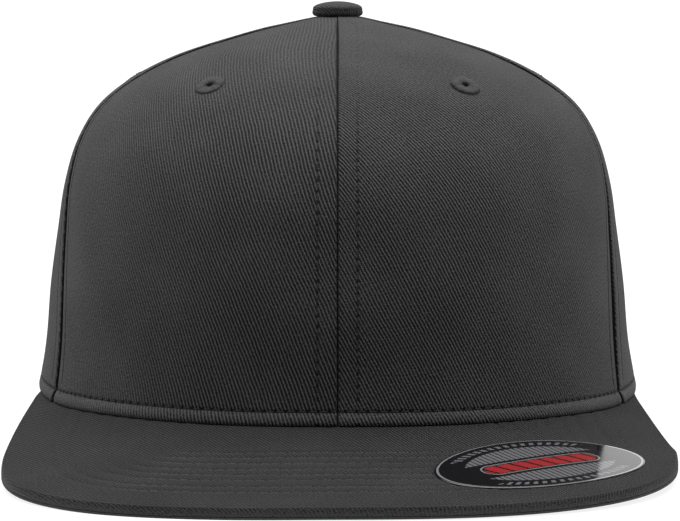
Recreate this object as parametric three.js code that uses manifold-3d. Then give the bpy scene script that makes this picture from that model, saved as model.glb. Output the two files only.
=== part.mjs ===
// A fitted flat brim cap: a six panel crown with eyelets and a button, a flat brim in two layers,
// a sweatband and an oval size sticker. Millimetres, +Z up; the front of the cap faces -Y and the
// wearer's left side is +X. Every piece is shaped with the crown's base plane at z = 0 and the
// button over the origin, and the whole cap is then laid down on its brim and its back hem.
import * as THREE from "three";
import { mergeVertices } from "three/addons/utils/BufferGeometryUtils.js";
import Module from "manifold-3d";

// Cloth and clearances
const gap = 0.3;
const frontWall = 2.0;
const sideWall = 1.8;

// The crown's outer sections from base to apex. Each is two half superellipses that meet on the
// widest line: its half width, its reach to the front and to the back, the superellipse power, where
// the widest line lies along Y, and the angles of the front seam and the back seam from the front.
const crownSections = [
  { height: 0, side: 83.9, front: 101, back: 101, power: 2.3, widest: 0, frontSeam: 66.4, backSeam: 120 },
  { height: 15, side: 81.5, front: 99.5, back: 100.5, power: 2.28, widest: 0, frontSeam: 68.9, backSeam: 120 },
  { height: 30, side: 80.2, front: 98, back: 99, power: 2.26, widest: 0, frontSeam: 70.8, backSeam: 120 },
  { height: 45, side: 78.3, front: 96, back: 96.5, power: 2.24, widest: -1, frontSeam: 74, backSeam: 120.5 },
  { height: 58, side: 76.5, front: 93, back: 92.5, power: 2.22, widest: -3, frontSeam: 77.6, backSeam: 121.5 },
  { height: 70, side: 73, front: 88.5, back: 86, power: 2.19, widest: -6, frontSeam: 80.5, backSeam: 123 },
  { height: 80, side: 66.7, front: 79.6, back: 75.6, power: 2.16, widest: -9, frontSeam: 83.3, backSeam: 124.5 },
  { height: 88, side: 56.3, front: 66.8, back: 61.9, power: 2.12, widest: -12, frontSeam: 86, backSeam: 126 },
  { height: 94, side: 44.2, front: 52.3, back: 47.8, power: 2.08, widest: -13, frontSeam: 87.3, backSeam: 127 },
  { height: 98.5, side: 30.4, front: 36, back: 33, power: 2.04, widest: -12, frontSeam: 87.5, backSeam: 127.5 },
  { height: 102, side: 17, front: 20.5, back: 19, power: 2, widest: -8, frontSeam: 86, backSeam: 128 },
  { height: 104.5, side: 0, front: 0, back: 0, power: 2, widest: 0, frontSeam: 80, backSeam: 128 },
];
const lastRow = crownSections.length - 1;
const apexHoleRow = 10.76;
const hemFadeHeight = 20;

// Panels: the seams they run between, counted from the front round the wearer's left side
const panels = [
  { name: "front_left_panel", side: 1, from: "front", to: "frontSeam", wall: frontWall, columns: 10 },
  { name: "side_left_panel", side: 1, from: "frontSeam", to: "backSeam", wall: sideWall, columns: 7 },
  { name: "back_left_panel", side: 1, from: "backSeam", to: "back", wall: sideWall, columns: 7 },
  { name: "front_right_panel", side: -1, from: "front", to: "frontSeam", wall: frontWall, columns: 10 },
  { name: "side_right_panel", side: -1, from: "frontSeam", to: "backSeam", wall: sideWall, columns: 7 },
  { name: "back_right_panel", side: -1, from: "backSeam", to: "back", wall: sideWall, columns: 7 },
];
const panelRows = 12;

// Eyelets: one to a panel, at an angle from the front and a height above the base
const eyelets = [
  { name: "front_left_eyelet", panel: "front_left_panel", angle: 36, height: 87.3 },
  { name: "front_right_eyelet", panel: "front_right_panel", angle: -36, height: 87.3 },
  { name: "side_left_eyelet", panel: "side_left_panel", angle: 106, height: 86.5 },
  { name: "side_right_eyelet", panel: "side_right_panel", angle: -106, height: 86.5 },
  { name: "back_left_eyelet", panel: "back_left_panel", angle: 153, height: 86 },
  { name: "back_right_eyelet", panel: "back_right_panel", angle: -153, height: 86 },
];
const eyeletRadius = 4;
const eyeletHole = 1.3;
const eyeletProud = 0.5;
const eyeletDepth = 2.4;
const eyeletSides = 14;
const drillLength = 12;

// Brim: it reaches forward from the crown's front edge, slopes down and is cambered across. The
// camber falls off towards the front, and the brim is twisted by a hair, as the worn-in one is.
const brimDrop = 1.5;
const brimSlope = 12.06;
const brimCamber = 8.9e-4;
const camberLength = 70;
const camberSpread = 180;
const brimTwist = 1.05e-4;
const twistAxis = 2;
const brimHalfWidth = 90;
const brimWidestAt = 8.5;
const brimReach = 69;
const brimPower = 2.48;
const hornAt = -74;
const hornHalfWidth = 84.3;
const hornPower = 1.15;
const tipAt = -82;
const tipHalfWidth = 82.9;
const tipAngle = 81.3;
const topLayer = 1.8;
const underLayer = 0.9;
const tipThinning = 0.45;
const tipThinFrom = 0.85;
const brimColumns = 44;
const brimRows = 4;

// Lower edges: how far under the brim's top they lie over the brim, how far over the base plane they
// lie behind its tips, and the angles between which they ease from the one to the other
const hemEdge = { under: -gap, over: 0, easeFrom: 83, easeTo: 98 };
const bandEdge = { under: topLayer + gap + underLayer, over: 0.5, easeFrom: 66, easeTo: 84 };

// Sweatband
const bandHeight = 34;
const bandThickness = 1.6;
const bandColumns = 44;
const bandRows = 3;

// Button: radius and height of its cloth cover's profile above the crown's base plane
const buttonProfile = [
  { radius: 0, height: 101.6 },
  { radius: 3.3, height: 101.6 },
  { radius: 3.3, height: 104.85 },
  { radius: 6.45, height: 104.45 },
  { radius: 6.85, height: 104.9 },
  { radius: 6.9, height: 106.2 },
  { radius: 6.3, height: 106.95 },
  { radius: 5, height: 107.55 },
  { radius: 3, height: 108.05 },
  { radius: 0, height: 108.3 },
];
const buttonSides = 24;

// Size sticker: an oval on the wearer's left of the brim
const stickerLength = 64;
const stickerWidth = 38;
const stickerTurn = 36;
const stickerX = 53.5;
const stickerForward = 28;
const stickerThickness = 0.3;
const stickerRings = 3;
const stickerSides = 32;

// Steps: along the paths that shape the brim, and for slopes found from two near points
const cornerSteps = 60;
const flankSteps = 30;
const crownEdgeSteps = 60;
const angleStep = 0.2;
const rowStep = 0.02;
const halvings = 40;

// Finishes
const clothColor = 0x3d3d3f;
const twill = new THREE.MeshStandardMaterial({ color: clothColor, roughness: 0.92, metalness: 0 });
const thread = new THREE.MeshStandardMaterial({ color: 0x454547, roughness: 0.7, metalness: 0 });
const bandCloth = new THREE.MeshStandardMaterial({ color: 0x333335, roughness: 0.95, metalness: 0 });
const foil = new THREE.MeshStandardMaterial({ color: 0x17171a, roughness: 0.25, metalness: 0.3 });

const radians = THREE.MathUtils.degToRad;
const mix = THREE.MathUtils.lerp;
const ease = (value, from, to) => THREE.MathUtils.smoothstep(value, from, to);

// A smooth curve (Catmull-Rom) through one column of the section table, at row number u
function column(name, u) {
  const i = Math.min(Math.max(Math.floor(u), 0), lastRow - 1);
  const t = u - i;
  const sign = ["side", "front", "back", "widest"].includes(name) ? -1 : 1;
  const at = (row) => {
    if (row < 0) return 2 * crownSections[0][name] - crownSections[1][name];
    if (row > lastRow) return sign * crownSections[lastRow - 1][name];
    return crownSections[row][name];
  };
  const [a, b, c, d] = [at(i - 1), at(i), at(i + 1), at(i + 2)];
  const square = t * t;
  const cube = square * t;
  return 0.5 * (2 * b + (c - a) * t + (2 * a - 5 * b + 4 * c - d) * square + (3 * b - 3 * c + d - a) * cube);
}

// The row number at which the section table reaches a height
function rowAtHeight(height) {
  let low = 0;
  let high = lastRow;
  for (let i = 0; i < halvings; i++) {
    const middle = (low + high) / 2;
    if (column("height", middle) < height) low = middle;
    else high = middle;
  }
  return low;
}

// A point of the crown's section at row u and an angle from the front, before its edge is eased
function sectionPoint(angle, u) {
  const sine = Math.sin(radians(angle));
  const cosine = Math.cos(radians(angle));
  const power = 2 / column("power", u);
  const widest = column("widest", u);
  const reach = cosine >= 0 ? column("front", u) + widest : column("back", u) - widest;
  return new THREE.Vector3(
    column("side", u) * Math.sign(sine) * Math.abs(sine) ** power,
    widest - reach * Math.sign(cosine) * Math.abs(cosine) ** power,
    column("height", u),
  );
}

// The crown's outward normal at a point, from two short steps along the surface
function sectionNormal(angle, u) {
  const across = sectionPoint(angle + angleStep, u).sub(sectionPoint(angle - angleStep, u));
  const up = sectionPoint(angle, u + rowStep).sub(sectionPoint(angle, u - rowStep));
  return across.cross(up).normalize();
}

// The brim's top surface over a point: a slope, less a camber that fades forward, plus a twist
function brimTop(x, y) {
  const forward = -(y + crownSections[0].front);
  const camber = brimCamber * Math.exp(-forward / camberLength - (forward / camberSpread) ** 2);
  const twist = brimTwist * x * (forward + twistAxis);
  return -brimDrop - Math.tan(radians(brimSlope)) * forward - camber * x * x + twist;
}

// A point of the crown at a depth under its outer surface. Near the base its height is eased so that
// the lower edge follows the brim at the front and the base plane at the back.
function crownPoint(angle, u, depth, edge) {
  const point = sectionPoint(angle, u).addScaledVector(sectionNormal(angle, u), -depth);
  const base = sectionPoint(angle, 0).addScaledVector(sectionNormal(angle, 0), -depth);
  const behindBrim = ease(Math.abs(angle), edge.easeFrom, edge.easeTo);
  const edgeHeight = mix(brimTop(base.x, base.y) - edge.under, edge.over, behindBrim);
  const height = column("height", u);
  const fade = Math.max(0, 1 - height / hemFadeHeight) ** 2;
  point.z += (edgeHeight - base.z) * fade;
  return point;
}

// A closed body through stations: each station is a loop that runs out along one face and back
// along the other, and the first and last are closed by strips between the two faces
function loft(stations, wrap = false) {
  const size = stations[0].length;
  const faces = [];
  const count = wrap ? stations.length : stations.length - 1;
  for (let i = 0; i < count; i++) {
    const next = (i + 1) % stations.length;
    for (let k = 0; k < size; k++) {
      const a = i * size + k;
      const b = i * size + ((k + 1) % size);
      const c = next * size + ((k + 1) % size);
      const d = next * size + k;
      faces.push(a, b, c, a, c, d);
    }
  }
  if (!wrap) {
    const last = (stations.length - 1) * size;
    for (let k = 0; k < size / 2 - 1; k++) {
      const [a, b, c, d] = [k, k + 1, size - 2 - k, size - 1 - k];
      faces.push(a, c, b, a, d, c);
      faces.push(last + a, last + b, last + c, last + a, last + c, last + d);
    }
  }
  return closedGeometry(stations.flat(), faces);
}

// A closed disc through rings: a centre point, rings out over the top, back under, and a centre
function disc(topCentre, rings, underCentre) {
  const size = rings[0].length;
  const faces = [];
  const points = [topCentre, ...rings.flat(), underCentre];
  const end = points.length - 1;
  const last = 1 + (rings.length - 1) * size;
  for (let k = 0; k < size; k++) {
    const n = (k + 1) % size;
    faces.push(0, 1 + n, 1 + k);
    faces.push(end, last + k, last + n);
    for (let i = 0; i < rings.length - 1; i++) {
      const a = 1 + i * size;
      const b = a + size;
      faces.push(a + k, a + n, b + n, a + k, b + n, b + k);
    }
  }
  return closedGeometry(points, faces);
}

// A geometry from points and triangles, turned right side out if its volume comes out negative
function closedGeometry(points, faces) {
  let volume = 0;
  for (let i = 0; i < faces.length; i += 3) {
    const [a, b, c] = [points[faces[i]], points[faces[i + 1]], points[faces[i + 2]]];
    volume += a.dot(b.clone().cross(c));
  }
  if (volume < 0) faces.reverse();
  const geometry = new THREE.BufferGeometry().setFromPoints(points);
  geometry.setIndex(faces);
  geometry.computeVertexNormals();
  return geometry;
}

// Booleans
const wasm = await Module();
wasm.setup();

function toSolid(geometry) {
  const bare = geometry.clone();
  bare.deleteAttribute("normal");
  bare.deleteAttribute("uv");
  const merged = mergeVertices(bare, 1e-4);
  return new wasm.Manifold(
    new wasm.Mesh({
      numProp: 3,
      vertProperties: new Float32Array(merged.attributes.position.array),
      triVerts: new Uint32Array(merged.index.array),
    }),
  );
}

function toGeometry(solid) {
  const mesh = solid.getMesh();
  const geometry = new THREE.BufferGeometry();
  geometry.setAttribute("position", new THREE.BufferAttribute(mesh.vertProperties, 3));
  geometry.setIndex(new THREE.BufferAttribute(mesh.triVerts, 1));
  geometry.computeVertexNormals();
  return geometry;
}

// The seam angle a panel edge follows at row u, and the half gap to its neighbour as an angle
function seamAngle(edge, u) {
  if (edge === "front") return 0;
  if (edge === "back") return 180;
  return column(edge, u);
}

function halfGapAngle(angle, u) {
  const length = sectionPoint(angle + angleStep, u).distanceTo(sectionPoint(angle - angleStep, u));
  return (gap / 2) * ((2 * angleStep) / length);
}

// One crown panel: stations across it, each a loop up the outer face and down the inner one
function panelGeometry({ side, from, to, wall, columns }) {
  const stations = [];
  for (let i = 0; i <= columns; i++) {
    const outer = [];
    const inner = [];
    for (let j = 0; j <= panelRows; j++) {
      const u = (apexHoleRow * j) / panelRows;
      const start = seamAngle(from, u);
      const end = seamAngle(to, u);
      const angle = mix(start + halfGapAngle(start, u), end - halfGapAngle(end, u), i / columns);
      outer.push(crownPoint(side * angle, u, 0, hemEdge));
      inner.push(crownPoint(side * angle, u, wall, hemEdge));
    }
    stations.push([...outer, ...inner.reverse()]);
  }
  return loft(stations);
}

// A lathe's own axis is Y, so it is turned to stand along Z
function turned(profile, sides) {
  const points = profile.map(({ radius, height }) => new THREE.Vector2(radius, height));
  return new THREE.LatheGeometry(points, sides).rotateX(Math.PI / 2);
}

// The place and direction of an eyelet: on the crown's surface, with +Z out of the cloth
function eyeletPlace({ angle, height }) {
  const u = rowAtHeight(height);
  const matrix = new THREE.Matrix4();
  const turn = new THREE.Quaternion().setFromUnitVectors(new THREE.Vector3(0, 0, 1), sectionNormal(angle, u));
  return matrix.compose(sectionPoint(angle, u), turn, new THREE.Vector3(1, 1, 1));
}

// An embroidered ring with a rounded crest, sunk through the cloth
function eyeletGeometry() {
  const middle = (eyeletRadius + eyeletHole) / 2;
  const under = -eyeletDepth + eyeletProud;
  return turned(
    [
      { radius: eyeletHole, height: under },
      { radius: eyeletRadius, height: under },
      { radius: eyeletRadius, height: 0 },
      { radius: middle, height: eyeletProud },
      { radius: eyeletHole, height: 0 },
      { radius: eyeletHole, height: under },
    ],
    eyeletSides,
  );
}

// The brim's outer edge on one side, as points [half width, forward] from the front to the tip:
// a quarter superellipse round the front corner, then a side that draws in towards the tip
function brimEdge() {
  const edge = [];
  for (let i = 0; i <= cornerSteps; i++) {
    const turn = (Math.PI / 2) * (i / cornerSteps);
    const power = 2 / brimPower;
    edge.push([
      brimHalfWidth * Math.sin(turn) ** power,
      brimWidestAt + (brimReach - brimWidestAt) * Math.max(0, Math.cos(turn)) ** power,
    ]);
  }
  for (let i = 1; i <= flankSteps; i++) {
    const along = i / flankSteps;
    const inward = (brimHalfWidth - hornHalfWidth) * along ** hornPower;
    edge.push([brimHalfWidth - inward, mix(brimWidestAt, hornAt, along)]);
  }
  edge.push([tipHalfWidth, tipAt]);
  return edge;
}

// Points at equal steps along an open path of [x, y] pairs
function evenly(path, steps) {
  const curve = new THREE.CurvePath();
  for (let i = 1; i < path.length; i++) {
    curve.add(new THREE.LineCurve(new THREE.Vector2(...path[i - 1]), new THREE.Vector2(...path[i])));
  }
  return curve.getSpacedPoints(steps);
}

// One layer of the brim, of a thickness, under the layer above it. Both thin out at the brim's tips.
function brimGeometry(thickness, above) {
  const half = brimColumns / 2;
  const outer = evenly(brimEdge(), half);
  const innerPath = [];
  for (let i = 0; i <= crownEdgeSteps; i++) {
    const angle = (tipAngle * i) / crownEdgeSteps;
    const point = sectionPoint(angle, 0).addScaledVector(sectionNormal(angle, 0), -frontWall);
    innerPath.push([point.x, -(point.y + crownSections[0].front)]);
  }
  const inner = evenly(innerPath, half);
  const stations = [];
  for (let i = -half; i <= half; i++) {
    const side = Math.sign(i) || 1;
    const [far, near] = [outer[Math.abs(i)], inner[Math.abs(i)]];
    const thin = mix(1, tipThinning, ease(Math.abs(i) / half, tipThinFrom, 1));
    const depth = above > 0 ? above * thin + gap : 0;
    const top = [];
    const under = [];
    for (let j = 0; j <= brimRows; j++) {
      const x = side * mix(near.x, far.x, j / brimRows);
      const y = -(mix(near.y, far.y, j / brimRows) + crownSections[0].front);
      const z = brimTop(x, y) - depth;
      top.push(new THREE.Vector3(x, y, z));
      under.push(new THREE.Vector3(x, y, z - thickness * thin));
    }
    stations.push([...top, ...under.reverse()]);
  }
  return loft(stations);
}

// The sweatband: a ring inside the wall, from the brim's underside up
function bandGeometry() {
  const near = frontWall + gap;
  const far = near + bandThickness;
  const topRow = rowAtHeight(bandHeight);
  const stations = [];
  for (let i = 0; i < bandColumns; i++) {
    const angle = -180 + (360 * i) / bandColumns;
    const outer = [];
    const inner = [];
    for (let j = 0; j <= bandRows; j++) {
      const u = (topRow * j) / bandRows;
      outer.push(crownPoint(angle, u, near, bandEdge));
      inner.push(crownPoint(angle, u, far, bandEdge));
    }
    stations.push([...outer, ...inner.reverse()]);
  }
  return loft(stations, true);
}

// A thin oval that follows the brim's top just above it
function stickerGeometry() {
  const turn = radians(stickerTurn);
  const at = (share, angle, lift) => {
    const along = (share * stickerLength * Math.cos(angle)) / 2;
    const across = (share * stickerWidth * Math.sin(angle)) / 2;
    const x = stickerX + along * Math.cos(turn) - across * Math.sin(turn);
    const forward = stickerForward - along * Math.sin(turn) - across * Math.cos(turn);
    const y = -(forward + crownSections[0].front);
    return new THREE.Vector3(x, y, brimTop(x, y) + gap + lift);
  };
  const ring = (share, lift) =>
    Array.from({ length: stickerSides }, (_, k) => at(share, (2 * Math.PI * k) / stickerSides, lift));
  const rings = [];
  for (let i = 1; i <= stickerRings; i++) rings.push(ring(i / stickerRings, stickerThickness));
  for (let i = stickerRings; i >= 1; i--) rings.push(ring(i / stickerRings, 0));
  return disc(at(0, 0, stickerThickness), rings, at(0, 0, 0));
}

// Assembly
const cap = new THREE.Group();

function addPiece(name, geometry, material) {
  const mesh = new THREE.Mesh(geometry, material);
  mesh.name = name;
  cap.add(mesh);
  return mesh;
}

for (const panel of panels) {
  const eyelet = eyelets.find((each) => each.panel === panel.name);
  const drill = new THREE.CylinderGeometry(eyeletRadius + gap, eyeletRadius + gap, drillLength, eyeletSides)
    .rotateX(Math.PI / 2)
    .applyMatrix4(eyeletPlace(eyelet));
  addPiece(panel.name, toGeometry(toSolid(panelGeometry(panel)).subtract(toSolid(drill))), twill);
}
for (const eyelet of eyelets) {
  addPiece(eyelet.name, eyeletGeometry(), thread).applyMatrix4(eyeletPlace(eyelet));
}
addPiece("button", turned(buttonProfile, buttonSides), twill);
addPiece("brim", brimGeometry(topLayer, 0), twill);
addPiece("brim_underside", brimGeometry(underLayer, topLayer), twill);
addPiece("sweatband", bandGeometry(), bandCloth);
addPiece("size_sticker", stickerGeometry(), foil);

// Laid down, the cap rests on its back hem and on the first point of the brim's edge to meet the
// surface, and its box stands centred on the origin
const brimDepth = topLayer + gap + underLayer;
const restPitch = Math.max(
  ...brimEdge().flatMap(([halfWidth, forward]) =>
    [-halfWidth, halfWidth].map((x) => {
      const y = -(forward + crownSections[0].front);
      return Math.atan((brimDepth - brimTop(x, y)) / (crownSections[0].back - y));
    }),
  ),
);
cap.rotation.x = -restPitch;
const laid = new THREE.Group();
laid.add(cap);
const box = new THREE.Box3().setFromObject(laid, true);
const middle = box.getCenter(new THREE.Vector3());
cap.position.set(-middle.x, -middle.y, -box.min.z);

export default laid;
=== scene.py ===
"""A fitted flat brim cap in charcoal twill, laid on a pale floor.

Shapes are worked out in millimetres in the crown's own frame, with its base plane at z = 0 and the
button over the origin, and are then laid down into the part's frame in metres.
"""

import logging
from dataclasses import dataclass
from enum import Enum

import bpy
import numpy as np
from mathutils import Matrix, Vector

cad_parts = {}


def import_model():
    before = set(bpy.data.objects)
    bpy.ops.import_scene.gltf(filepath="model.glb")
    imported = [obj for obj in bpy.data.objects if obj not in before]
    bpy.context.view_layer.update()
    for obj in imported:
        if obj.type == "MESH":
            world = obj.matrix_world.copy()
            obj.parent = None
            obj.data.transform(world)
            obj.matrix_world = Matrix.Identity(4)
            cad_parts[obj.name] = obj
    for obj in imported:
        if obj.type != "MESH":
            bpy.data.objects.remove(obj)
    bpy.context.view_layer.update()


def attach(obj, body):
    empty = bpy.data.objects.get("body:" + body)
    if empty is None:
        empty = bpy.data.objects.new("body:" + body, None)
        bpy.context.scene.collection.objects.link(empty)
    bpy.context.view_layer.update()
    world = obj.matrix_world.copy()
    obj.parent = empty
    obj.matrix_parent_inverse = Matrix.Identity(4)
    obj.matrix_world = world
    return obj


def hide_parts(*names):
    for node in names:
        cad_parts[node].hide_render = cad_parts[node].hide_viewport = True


Array = np.ndarray
Socket = bpy.types.NodeSocket
Material = bpy.types.Material
Piece = bpy.types.Object

log = logging.getLogger("cap")

MM = 0.001
FULL_TURN = 2 * np.pi
FRONT_WALL_MM = 2.0
REAR_WALL_MM = 1.8
PIXELS_WIDE = 680

# Stitch rows: how far they lie from a seam and above the hem's edge, and their holes' distance
SEAM_ROW_MM = 5.4
SEAM_PITCH_MM = 3.07
HEM_ROW_MM = 3.6
HEM_PITCH_MM = 2.93

# Crown sections from base to apex. Each is two half superellipses that meet on the widest line.
HEIGHT, SIDE, FRONT, BACK, POWER, WIDEST, FRONT_SEAM, BACK_SEAM = range(8)
SECTIONS = np.array(
    [
        # height, side, front, back, power, widest, front seam, back seam
        [0, 83.9, 101, 101, 2.3, 0, 66.4, 120],
        [15, 81.5, 99.5, 100.5, 2.28, 0, 68.9, 120],
        [30, 80.2, 98, 99, 2.26, 0, 70.8, 120],
        [45, 78.3, 95.2, 96.5, 2.24, -1, 74.4, 120.5],
        [58, 76.5, 92, 92.5, 2.22, -3, 77.2, 121.5],
        [70, 73, 85.5, 86, 2.19, -6, 79.3, 123],
        [80, 66.7, 76, 75.6, 2.16, -9, 80.6, 124.5],
        [88, 56.3, 64.8, 61.9, 2.12, -12, 81.4, 126],
        [94, 44.2, 51, 47.8, 2.08, -13, 81.4, 127],
        [98.5, 30.4, 36, 33, 2.04, -12, 80, 127.5],
        [102, 17, 20.5, 19, 2, -8, 77, 128],
        [104.5, 0, 0, 0, 2, 0, 74, 128],
    ],
    dtype=float,
)
# Past the apex the sizes run on with the other sign, and the rest run on as they are
PAST_APEX = np.array([1, -1, -1, -1, 1, -1, 1, 1], dtype=float)
APEX_ROW = 10.76


def srgb(code: str) -> tuple[float, float, float, float]:
    """Turns an sRGB hex colour, six digits after a hash sign, to linear light with an alpha of 1."""
    parts = np.array([int(code[i : i + 2], 16) for i in (1, 3, 5)]) / 255
    linear = np.where(parts <= 0.04045, parts / 12.92, ((parts + 0.055) / 1.055) ** 2.4)
    return (*linear.tolist(), 1.0)


@dataclass(frozen=True)
class Bell:
    """A swell, or a groove below 0, along a distance: its height, its middle and its width."""

    height: float
    middle: float
    width: float

    def at(self, distance: Array) -> Array:
        """The height times exp(-((distance - middle) / width) squared)."""
        return self.height * np.exp(-(((distance - self.middle) / self.width) ** 2))


def smoothstep(value: Array, start: float, end: float) -> Array:
    """Eases from 0 at start to 1 at end as 3 t squared less 2 t cubed."""
    t = np.clip((value - start) / (end - start), 0, 1)
    return t * t * (3 - 2 * t)


def unit(vectors: Array) -> Array:
    """Vectors of length 1."""
    return vectors / np.maximum(np.linalg.norm(vectors, axis=-1, keepdims=True), 1e-12)


def around(count: int) -> Array:
    """Angles of points spaced evenly round a full turn."""
    return np.linspace(0, FULL_TURN, count, endpoint=False)


def together(*parts: Array) -> Array:
    """Arrays of numbers as pairs or triples, each part stretched to the others' shape."""
    return np.stack(np.broadcast_arrays(*parts), axis=-1)


def running_length(points: Array) -> Array:
    """Length so far at each point along a path, or along each row of paths, from 0 at its first."""
    steps = np.linalg.norm(np.diff(points, axis=-2), axis=-1)
    return np.concatenate([np.zeros_like(steps[..., :1]), np.cumsum(steps, axis=-1)], axis=-1)


def read_off(wanted: Array, known: Array, values: Array) -> Array:
    """Interpolates rows of values, known at rising places along a path, at the wanted places."""
    return np.stack([np.interp(wanted, known, column) for column in values.T], axis=-1)


def read_each(wanted: Array, known: Array, values: Array) -> Array:
    """Interpolates values, known at rising places in each row, at the wanted places of that row.

    All the rows are laid end to end, so that one interpolation serves them all.
    """
    start = np.arange(len(known))[:, None] * (known.max() + 1)
    flat = np.interp((wanted + start).ravel(), (known + start).ravel(), values.ravel())
    return flat.reshape(wanted.shape)


@dataclass(frozen=True)
class Lay:
    """How the cap lies: the crown's base plane leans forward until the brim's corner touches down."""

    pitch: float = 0.0719553
    shift: tuple[float, float, float] = (0.0, 34.821815, 7.261218)

    def turned(self, vectors: Array) -> Array:
        """Directions of the crown's frame in the part's frame: a turn about X by the pitch."""
        cosine, sine = np.cos(self.pitch), np.sin(self.pitch)
        x, y, z = vectors[..., 0], vectors[..., 1], vectors[..., 2]
        return together(x, y * cosine + z * sine, z * cosine - y * sine)

    def placed(self, points: Array) -> Array:
        """Points of the crown's frame in millimetres, in the part's frame in metres."""
        return (self.turned(points) + np.array(self.shift)) * MM


@dataclass(frozen=True)
class LowerEdge:
    """Where a ring of cloth ends: on the brim in front, near the base plane behind."""

    under: float
    over: float
    ease_from: float
    ease_to: float


@dataclass(frozen=True)
class BrimSide:
    """One side's outline: its widest half width and where, its corner's power, and its horn."""

    half_width: float
    widest_at: float
    power: float
    horn_half_width: float
    horn_power: float


@dataclass(frozen=True)
class BrimShape:
    """The brim's top surface and its outline, in the crown's frame."""

    drop: float = 1.5
    slope: float = 12.06
    camber: float = 8.9e-4
    camber_length: float = 70.0
    camber_spread: float = 180.0
    twist: float = 5.5e-5
    twist_axis: float = 2.0
    reach: float = 70.1
    left: BrimSide = BrimSide(91.0, -1.5, 2.62, 83.3, 0.75)
    right: BrimSide = BrimSide(89.4, 7.7, 2.85, 84.2, 1.25)
    horn_at: float = -74.0
    tip_at: float = -82.0
    tip_half_width: float = 82.9
    junction: float = 101.0
    corner_steps: int = 160
    side_steps: int = 60
    edge_steps: int = 900
    slope_step: float = 0.1

    def top(self, x: Array, y: Array) -> Array:
        """Height: a slope, less a camber in x squared that fades forward, plus a slight twist."""
        forward = -(y + self.junction)
        fade = np.exp(-forward / self.camber_length - (forward / self.camber_spread) ** 2)
        twist = self.twist * x * (forward + self.twist_axis)
        slope = np.tan(np.radians(self.slope)) * forward
        return -self.drop - slope - self.camber * fade * x * x + twist

    def on_top(self, plan: Array, lift: Array | float = 0.0) -> Array:
        """Points over plan positions at a lift above the top surface."""
        x, y = plan[..., 0], plan[..., 1]
        return together(x, y, self.top(x, y) + lift)

    def normal(self, plan: Array) -> Array:
        """Upward normals of the top surface, from its slopes over a short step."""
        x, y, step = plan[..., 0], plan[..., 1], self.slope_step
        along_x = (self.top(x + step, y) - self.top(x - step, y)) / (2 * step)
        along_y = (self.top(x, y + step) - self.top(x, y - step)) / (2 * step)
        return unit(together(-along_x, -along_y, 1.0))

    def half_outline(self, side: BrimSide) -> Array:
        """One side's outline as plan points, from the middle of the front to the tip.

        A quarter superellipse rounds the corner, a power curve draws the side in to the horn, and a
        last step reaches the tip.
        """
        turn = np.linspace(0, np.pi / 2, self.corner_steps)
        corner_x = side.half_width * np.sin(turn) ** (2 / side.power)
        round_it = np.maximum(np.cos(turn), 0) ** (2 / side.power)
        corner_d = side.widest_at + (self.reach - side.widest_at) * round_it
        along = np.linspace(0, 1, self.side_steps)[1:]
        drawn_in = (side.half_width - side.horn_half_width) * along**side.horn_power
        side_x = side.half_width - drawn_in
        side_d = side.widest_at + (self.horn_at - side.widest_at) * along
        x = np.concatenate([corner_x, side_x, [self.tip_half_width]])
        d = np.concatenate([corner_d, side_d, [self.tip_at]])
        return together(x, -(d + self.junction))

    def outline(self, steps: int) -> Array:
        """The whole outline from the wearer's right tip round the front, evenly spaced."""
        right, left = self.half_outline(self.right), self.half_outline(self.left)
        whole = np.concatenate([right[:0:-1] * [-1, 1], left])
        length = running_length(whole)
        return read_off(np.linspace(0, length[-1], steps), length, whole)

    def inward(self, plan: Array) -> Array:
        """How far plan points lie inside the outline, as the least distance to it."""
        edge = self.outline(self.edge_steps)
        rows = [
            np.sqrt(((row[:, None] - edge[None]) ** 2).sum(-1)).min(1)
            for row in plan.reshape(len(plan), -1, 2)
        ]
        return np.array(rows).reshape(plan.shape[:-1])


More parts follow.
